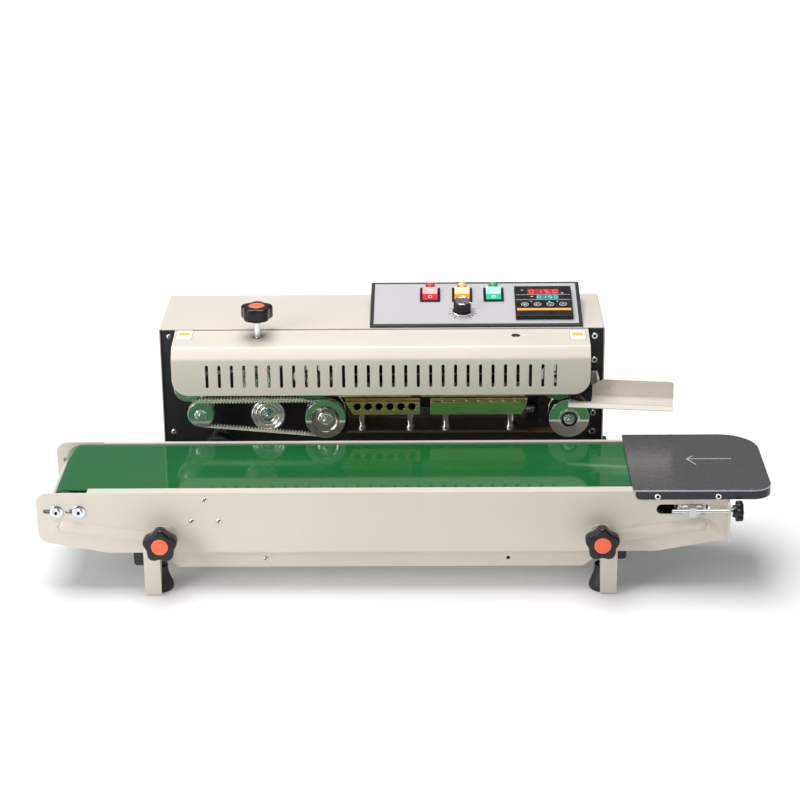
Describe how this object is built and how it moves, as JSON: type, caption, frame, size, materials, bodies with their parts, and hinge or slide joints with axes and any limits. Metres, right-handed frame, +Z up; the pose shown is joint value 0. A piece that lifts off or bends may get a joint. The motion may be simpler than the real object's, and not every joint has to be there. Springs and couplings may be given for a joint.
{
  "type": "continuous band sealer",
  "caption": "Table-top continuous band sealer: belt conveyor in front of a heated seal head with drive wheels, guard, sloping control console and rubber feet.",
  "frame": {"origin": "on the table under the middle of the machine's footprint", "axes": "+X towards the infeed end, +Y away from the operator, +Z up"},
  "size_m": [0.8362, 0.3966, 0.2804],
  "materials": {
    "beige_paint": "satin powder coat",
    "black_paint": "satin black",
    "green_belt": "glossy smooth",
    "stainless": "brushed",
    "zinc": "bright",
    "brass": "machined",
    "black_plastic": "moulded",
    "dark_plastic": "moulded",
    "panel_grey": "satin film",
    "black_rubber": "matt",
    "band_brown": "coated glass fibre",
    "belt_cream": "translucent",
    "red_lens": "translucent",
    "amber_lens": "translucent",
    "green_lens": "translucent",
    "board_green": "lacquered",
    "spring_steel": "drawn wire",
    "machined_steel": "turned"
  },
  "bodies": {
    "machine_frame": {"housing_shell": "beige_paint", "rear_cover": "beige_paint", "mounting_plate": "black_paint", "housing_screws": "zinc", "guard": "beige_paint", "console_frame": "black_paint", "console_plate": "panel_grey", "switch_bezels": "black_plastic", "controller_case": "black_plastic", "support_arms": "black_paint", "front_legs": "beige_paint", "rubber_feet": "black_rubber", "block_holder": "black_paint", "upper_blocks": "brass", "shaft_bearings": "machined_steel", "infeed_guide": "beige_paint", "seal_bands": "band_brown", "guide_belts": "belt_cream", "drive_motor": "machined_steel", "fan_housing": "dark_plastic", "control_board": "board_green", "power_inlet": "dark_plastic", "pressure_spring": "spring_steel"},
    "conveyor": {"conveyor_front_plate": "beige_paint", "conveyor_rear_plate": "beige_paint", "belt_bed": "beige_paint", "conveyor_belt": "green_belt", "roller_bearings": "machined_steel", "conveyor_screws": "zinc", "feed_plate": "stainless"},
    "drive_roller": {"drive_roller": "machined_steel"},
    "head_roller": {"head_roller": "machined_steel"},
    "tail_carriage": {"tail_blocks": "machined_steel"},
    "tail_roller": {"tail_roller": "machined_steel"},
    "tension_screw": {"front_tension_screw": "zinc"},
    "left_clamp": {"left_star_knob": "black_plastic"},
    "right_clamp": {"right_star_knob": "black_plastic"},
    "lower_left_wheel": {"lower_left_wheel": "machined_steel"},
    "upper_left_wheel": {"upper_left_wheel": "machined_steel"},
    "right_wheel_carriage": {"wheel_slide": "black_paint"},
    "lower_right_wheel": {"lower_right_wheel": "machined_steel"},
    "upper_right_wheel": {"upper_right_wheel": "machined_steel"},
    "lower_guide_wheel": {"lower_guide_wheel": "machined_steel"},
    "upper_guide_wheel": {"upper_guide_wheel": "machined_steel"},
    "lower_pressure_wheel": {"lower_pressure_wheel": "black_rubber"},
    "pressure_carriage": {"pressure_slide": "black_paint"},
    "upper_pressure_wheel": {"upper_pressure_wheel": "black_rubber"},
    "pressure_screw": {"pressure_knob": "black_plastic"},
    "lower_heater": {"lower_heating_block": "brass"},
    "lower_cooler": {"lower_cooling_block": "brass"},
    "conveyor_drive": {"conveyor_drive_shaft": "machined_steel"},
    "fan_rotor": {"fan_rotor": "dark_plastic"},
    "speed_dial": {"speed_knob": "black_plastic"},
    "red_switch": {"red_switch": "red_lens"},
    "amber_switch": {"amber_switch": "amber_lens"},
    "green_switch": {"green_switch": "green_lens"},
    "set_button": {"set_button": "dark_plastic"},
    "shift_button": {"shift_button": "dark_plastic"},
    "down_button": {"down_button": "dark_plastic"},
    "up_button": {"up_button": "dark_plastic"}
  },
  "joints": [
    {"name": "conveyor_height", "type": "slide", "parent": "machine_frame", "child": "conveyor", "axis": [0, 0, 1], "range_m": [0, 0.006]},
    {"name": "drive_roller_spin", "type": "hinge", "parent": "conveyor", "child": "drive_roller", "pos_m": [-0.2261, -0.08, 0.1002], "axis": [0, -1, 0], "continuous": true},
    {"name": "head_roller_spin", "type": "hinge", "parent": "conveyor", "child": "head_roller", "pos_m": [-0.386, -0.08, 0.1045], "axis": [0, -1, 0], "continuous": true},
    {"name": "belt_take_up", "type": "slide", "parent": "conveyor", "child": "tail_carriage", "axis": [1, 0, 0], "range_m": [-0.008, 0]},
    {"name": "tail_roller_spin", "type": "hinge", "parent": "tail_carriage", "child": "tail_roller", "pos_m": [0.3273, -0.08, 0.1045], "axis": [0, -1, 0], "continuous": true},
    {"name": "tension_screw_turn", "type": "hinge", "parent": "conveyor", "child": "tension_screw", "pos_m": [0.37, -0.17, 0.1045], "axis": [1, 0, 0], "range_deg": [-3600, 0]},
    {"name": "left_clamp_turn", "type": "hinge", "parent": "conveyor", "child": "left_clamp", "pos_m": [-0.2752, -0.18, 0.0745], "axis": [0, -1, 0], "range_deg": [0, 720]},
    {"name": "right_clamp_turn", "type": "hinge", "parent": "conveyor", "child": "right_clamp", "pos_m": [0.2248, -0.18, 0.0745], "axis": [0, -1, 0], "range_deg": [0, 720]},
    {"name": "lower_left_spin", "type": "hinge", "parent": "machine_frame", "child": "lower_left_wheel", "pos_m": [-0.096, 0.044, 0.1425], "axis": [0, -1, 0], "continuous": true},
    {"name": "upper_left_spin", "type": "hinge", "parent": "machine_frame", "child": "upper_left_wheel", "pos_m": [-0.111, 0.044, 0.1909], "axis": [0, -1, 0], "continuous": true},
    {"name": "band_tension", "type": "slide", "parent": "machine_frame", "child": "right_wheel_carriage", "axis": [1, 0, 0], "range_m": [-0.003, 0], "stiffness_N_per_m": 3000, "springref_m": 0.004},
    {"name": "lower_right_spin", "type": "hinge", "parent": "right_wheel_carriage", "child": "lower_right_wheel", "pos_m": [0.198, 0.044, 0.1425], "axis": [0, -1, 0], "continuous": true},
    {"name": "upper_right_spin", "type": "hinge", "parent": "right_wheel_carriage", "child": "upper_right_wheel", "pos_m": [0.184, 0.044, 0.1909], "axis": [0, -1, 0], "continuous": true},
    {"name": "lower_guide_spin", "type": "hinge", "parent": "machine_frame", "child": "lower_guide_wheel", "pos_m": [-0.2464, 0.03, 0.1486], "axis": [0, -1, 0], "continuous": true},
    {"name": "upper_guide_spin", "type": "hinge", "parent": "machine_frame", "child": "upper_guide_wheel", "pos_m": [-0.2613, 0.03, 0.1818], "axis": [0, -1, 0], "continuous": true},
    {"name": "lower_pressure_spin", "type": "hinge", "parent": "machine_frame", "child": "lower_pressure_wheel", "pos_m": [-0.1658, 0.045, 0.1442], "axis": [0, -1, 0], "continuous": true},
    {"name": "pressure_lift", "type": "slide", "parent": "machine_frame", "child": "pressure_carriage", "axis": [0, 0, 1], "range_m": [0, 0.0035], "stiffness_N_per_m": 4000, "springref_m": -0.005, "deforming": ["pressure_spring"]},
    {"name": "upper_pressure_spin", "type": "hinge", "parent": "pressure_carriage", "child": "upper_pressure_wheel", "pos_m": [-0.1767, 0.045, 0.1892], "axis": [0, -1, 0], "continuous": true},
    {"name": "pressure_screw_turn", "type": "hinge", "parent": "machine_frame", "child": "pressure_screw", "pos_m": [-0.1767, 0.0483, 0.25], "axis": [0, 0, 1], "range_deg": [-1080, 1080]},
    {"name": "lower_heater_float", "type": "slide", "parent": "machine_frame", "child": "lower_heater", "axis": [0, 0, 1], "range_m": [-0.002, 0], "stiffness_N_per_m": 3000, "springref_m": 0.004},
    {"name": "lower_cooler_float", "type": "slide", "parent": "machine_frame", "child": "lower_cooler", "axis": [0, 0, 1], "range_m": [-0.002, 0], "stiffness_N_per_m": 3000, "springref_m": 0.004},
    {"name": "conveyor_drive_spin", "type": "hinge", "parent": "machine_frame", "child": "conveyor_drive", "pos_m": [-0.2261, 0.06, 0.1002], "axis": [0, -1, 0], "continuous": true},
    {"name": "fan_spin", "type": "hinge", "parent": "machine_frame", "child": "fan_rotor", "pos_m": [-0.289, 0.135, 0.187], "axis": [1, 0, 0], "continuous": true},
    {"name": "speed_turn", "type": "hinge", "parent": "machine_frame", "child": "speed_dial", "pos_m": [0.0705, 0.09726, 0.25754], "axis": [0, -0.2079, 0.9781], "range_deg": [-280, 0]},
    {"name": "red_switch_rock", "type": "hinge", "parent": "machine_frame", "child": "red_switch", "pos_m": [0.031, 0.13694, 0.26087], "axis": [1, 0, 0], "range_deg": [-16, 0]},
    {"name": "amber_switch_rock", "type": "hinge", "parent": "machine_frame", "child": "amber_switch", "pos_m": [0.0705, 0.13694, 0.26087], "axis": [1, 0, 0], "range_deg": [-16, 0]},
    {"name": "green_switch_rock", "type": "hinge", "parent": "machine_frame", "child": "green_switch", "pos_m": [0.1093, 0.13694, 0.26087], "axis": [1, 0, 0], "range_deg": [-16, 0]},
    {"name": "set_button_press", "type": "slide", "parent": "machine_frame", "child": "set_button", "axis": [0, 0.2079, -0.9781], "range_m": [0, 0.0005], "stiffness_N_per_m": 800, "springref_m": -0.0005},
    {"name": "shift_button_press", "type": "slide", "parent": "machine_frame", "child": "shift_button", "axis": [0, 0.2079, -0.9781], "range_m": [0, 0.0005], "stiffness_N_per_m": 800, "springref_m": -0.0005},
    {"name": "down_button_press", "type": "slide", "parent": "machine_frame", "child": "down_button", "axis": [0, 0.2079, -0.9781], "range_m": [0, 0.0005], "stiffness_N_per_m": 800, "springref_m": -0.0005},
    {"name": "up_button_press", "type": "slide", "parent": "machine_frame", "child": "up_button", "axis": [0, 0.2079, -0.9781], "range_m": [0, 0.0005], "stiffness_N_per_m": 800, "springref_m": -0.0005}
  ],
  "couplings": [
    {"joint": "upper_left_spin", "follows": "lower_left_spin", "ratio": -1},
    {"joint": "lower_right_spin", "follows": "lower_left_spin", "ratio": 1},
    {"joint": "upper_right_spin", "follows": "lower_left_spin", "ratio": -1},
    {"joint": "lower_guide_spin", "follows": "lower_left_spin", "ratio": 1.5084},
    {"joint": "upper_guide_spin", "follows": "lower_left_spin", "ratio": -1.5084},
    {"joint": "lower_pressure_spin", "follows": "lower_left_spin", "ratio": 1.086},
    {"joint": "upper_pressure_spin", "follows": "lower_left_spin", "ratio": -1.086},
    {"joint": "conveyor_drive_spin", "follows": "lower_left_spin", "ratio": 1},
    {"joint": "drive_roller_spin", "follows": "lower_left_spin", "ratio": 1},
    {"joint": "head_roller_spin", "follows": "lower_left_spin", "ratio": 1},
    {"joint": "tail_roller_spin", "follows": "lower_left_spin", "ratio": 1},
    {"joint": "tension_screw_turn", "follows": "belt_take_up", "rad_per_m": 7854}
  ]
}
